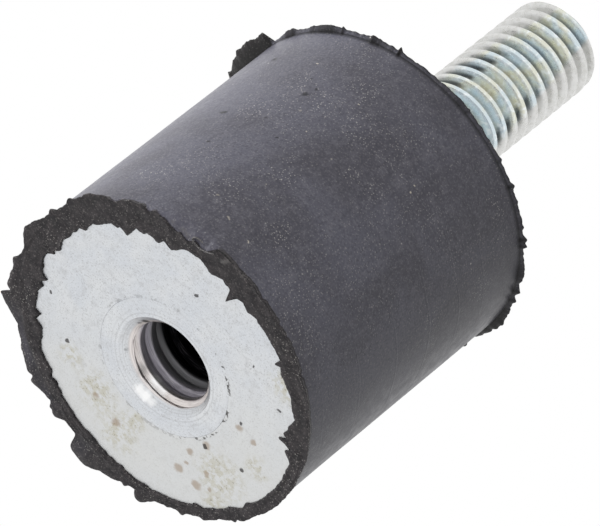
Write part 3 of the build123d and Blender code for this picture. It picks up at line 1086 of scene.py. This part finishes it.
# Painted glints (painted highlights) in the mouth, then darker spots: place and size in mm, strength,
# tone
for point, size, strength, tone in [
    ((0.7, 3.0, 1.1), 0.6, 0.9, 1.0), ((1.3, 2.9, 1.05), 0.5, 0.7, 1.0),
    ((0.45, 3.5, 0.3), 0.45, 0.8, 1.0), ((0.95, 3.45, 0.3), 0.5, 0.9, 1.0),
    ((1.45, 3.35, 0.28), 0.4, 0.6, 1.0), ((-0.25, 2.95, 0.95), 0.55, 0.6, 0.22),
    ((-2.25, -0.3, 0.6), 0.32, 1.0, 0.01), ((-2.3, 0.15, 0.5), 0.2, 0.9, 0.02),
    ((-1.65, 2.4, 0.45), 0.2, 0.5, 0.05),
]:
    here = near_point(ragged, Vector(point) * MM, size * MM, 0.8)
    colour = paint(colour, rgb(tone, tone, tone), here, strength)
in_mouth = span(across, 3.35 * MM, 3.15 * MM)
relief = blend(in_mouth, relief, scratches)
dullness = span(height, 1.1 * MM, 1.5 * MM, 0.4, 0.62)
metal(shader, colour, dullness, relief, 0.5, 0.012 * MM)

# %% Bush piece
MOUTH_RADIUS = 3.2 * MM
MOUTH_RING = 3.5 * MM
BORE_ROOT = 2.85 * MM
EDGE_BREAK = 0.015 * MM
CORE_RADIUS = 2.55 * MM
BORE_LENGTH = 6.6 * MM
DRILL_POINT = 1.502 * MM

bore_start, bore_end = bush_low.z, bush_low.z + BORE_LENGTH
bore = thread_mesh(thread_nodes, {
    **EITHER_THREAD, "Turns": 9, "Start": bore_start, "End": bore_end, "Phase": 0.0,
    "Crest Radius": CORE_RADIUS, "Root Radius": BORE_ROOT, "Start Radius": MOUTH_RADIUS,
    "End Radius": CORE_RADIUS, "Crest Share": 0.38, "Root Share": 0.08, "Material": bush_metal})
bore.transform(Matrix.Translation(SOCKET_AXIS))
outside = [
    (MOUTH_RADIUS, bore_start), (MOUTH_RING, bore_start), (BUSH_RADIUS - EDGE_BREAK, bore_start),
    (BUSH_RADIUS, bore_start + EDGE_BREAK), (BUSH_RADIUS, plate_back), (collar_radius, plate_back),
    (collar_radius, plate_back + COLLAR_THICKNESS), (BUSH_RADIUS, plate_back + COLLAR_THICKNESS),
    (BUSH_RADIUS, bush_high.z - BUSH_TAIL_CHAMFER), (BUSH_RADIUS - BUSH_TAIL_CHAMFER, bush_high.z),
    (0.0, bush_high.z)]
drill_tip = [(CORE_RADIUS, bore_end), (0.0, bore_end + DRILL_POINT)]
bush = turned_piece("threaded_bush_zinc", bore, SOCKET_AXIS, [outside, drill_tip],
                    bush_metal)
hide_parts("threaded_bush")

# %% [markdown]
# ## The stud
# The stud's thread was rolled, so its crests are round and it is plated all over. Its colour is
# painted with reflections: bluish, or faintly yellow where the plating is thin, with painted
# highlights on a strip that faces the viewer, and plainer grey either side of it. Painted shade and
# dark reflections lie in the roots, most of them low down on the -Y side beside the strip. The
# strip narrows towards the tip, so each of its edges is a straight line of X against the height.

# %% Stud material
# The edges of the strip painted as the bright facing reflection; `aside` is 0 on its middle line and
# 1 on its edges
stud_metal, shader, place = new_material("stud_metal")
x, y, height = split(place)
left = plus(times(height, 0.112), -5.68 * MM)
right = plus(times(height, -0.156), 6.66 * MM)
middle = times(plus(left, right), 0.5)
half = times(minus(right, left), 0.5)
aside = maths("DIVIDE", apart(x, middle), half)
aside = plus(aside, times(minus(rough(place, 0.8 * MM, 2.0), 0.5), 0.35))

tint = rough(place, 1.6 * MM, 3.0, 0.6)
cloud = rough(place, 0.35 * MM, 4.0, 0.4)
facing_reflection = flecked(rgb(0.64, 0.73, 0.77), rgb(0.73, 0.74, 0.64), tint, 0.38, 0.62)
# Painted highlights in cloud shapes on the facing strip.
facing_reflection = flecked(facing_reflection, rgb(0.9, 0.94, 0.95), cloud, 0.5, 0.68, 0.8)
edge_on_reflection = flecked(rgb(0.62, 0.62, 0.6), rgb(0.74, 0.74, 0.73), cloud, 0.3, 0.7)
colour = blend(span(aside, 0.92, 1.12), facing_reflection, edge_on_reflection)

# Painted shade and dark reflections in the roots, and beside the strip low down on the -Y side.
groove_share = kept(shader, "groove")
in_root = span(groove_share, 0.45, 0.85)
high = span(height, 30 * MM, 33 * MM)
in_middle = plus(times(high, 0.35), 0.35)
near_side = span(y, 0.6 * MM, -0.8 * MM, 0.25, 1.0)
low = span(height, 33.5 * MM, 30.0 * MM, 0.3, 0.9)
begins = span(x, -0.5 * MM, 0.5 * MM, 0.45, 0.64)
outer = span(minus(aside, begins), 0.0, 0.25)
outer = times(times(outer, near_side), low)
on_flank = span(groove_share, 0.15, 0.5)
root_dark_share = times(in_middle, in_root)
root_dark_share = larger(root_dark_share, times(outer, on_flank))
root_dark_share = times(root_dark_share, span(aside, 1.22, 0.98))
brown = blend(high, rgb(0.28, 0.25, 0.19), rgb(0.13, 0.15, 0.17))
root_shade_and_reflection = blend(span(aside, 0.5, 0.75), brown, rgb(0.15, 0.165, 0.175))
colour = blend(root_dark_share, colour, root_shade_and_reflection)
metal(shader, colour, span(cloud, 0.3, 0.7, 0.24, 0.38), cloud, 0.25, 0.03 * MM)

# %% Stud piece
STUD_RADIUS = 3.0 * MM
SHOULDER_RADIUS = 3.6 * MM
TIP_CHAMFER = 0.8 * MM
THREAD_ROOT = 2.39 * MM
RUN_OUT = 0.85 * MM
SHANK_STEP = 0.02 * MM  # a ring just below the thread, so that its groove values end there
STUD_PHASE = -0.22  # of a turn; above 0 the thread's first row would leave a gap at its start

thread_start, thread_end = stud_plate_high.z + RUN_OUT, stud_high.z
stud_thread = thread_mesh(thread_nodes, {
    **EITHER_THREAD, "Turns": 21, "Start": thread_start, "End": thread_end, "Phase": STUD_PHASE,
    "Crest Radius": STUD_RADIUS, "Root Radius": THREAD_ROOT, "Start Radius": STUD_RADIUS,
    "End Radius": STUD_RADIUS - TIP_CHAMFER, "Crest Share": 0.24, "Root Share": 0.1,
    "Material": stud_metal})
foot = [
    (STUD_RADIUS, thread_start), (STUD_RADIUS, thread_start - SHANK_STEP),
    (STUD_RADIUS, stud_plate_high.z), (SHOULDER_RADIUS, stud_plate_high.z),
    (SHOULDER_RADIUS, stud_plate_low.z), (head_radius, stud_plate_low.z),
    (head_radius, stud_low.z + HEAD_EDGE), (head_radius - HEAD_EDGE, stud_low.z), (0.0, stud_low.z)]
tip = [(STUD_RADIUS - TIP_CHAMFER, thread_end), (0.0, thread_end)]
stud = turned_piece("threaded_stud_zinc", stud_thread, STUD_AXIS, [foot, tip],
                    stud_metal)
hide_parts("stud")

# %% [markdown]
# ## The stud plate
# The far plate is a plain disc and its CAD shape is right, so it keeps its mesh and only gets the
# zinc, with the lathe's rings about its own axis.

# %% Stud plate material
zinc_back, shader, place = new_material("zinc_back")
colour, relief, _, cloud = plating(place, STUD_AXIS)
metal(shader, colour, span(cloud, 0.3, 0.7, 0.42, 0.55), relief, 0.25, 0.012 * MM)
stud_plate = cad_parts["stud_plate"]
stud_plate.data.materials.clear()
stud_plate.data.materials.append(zinc_back)

# %% [markdown]
# ## Finish
# The colours were chosen on a plain screen, so the view transform is Standard.

# %% View
bpy.context.scene.view_settings.view_transform = "Standard"
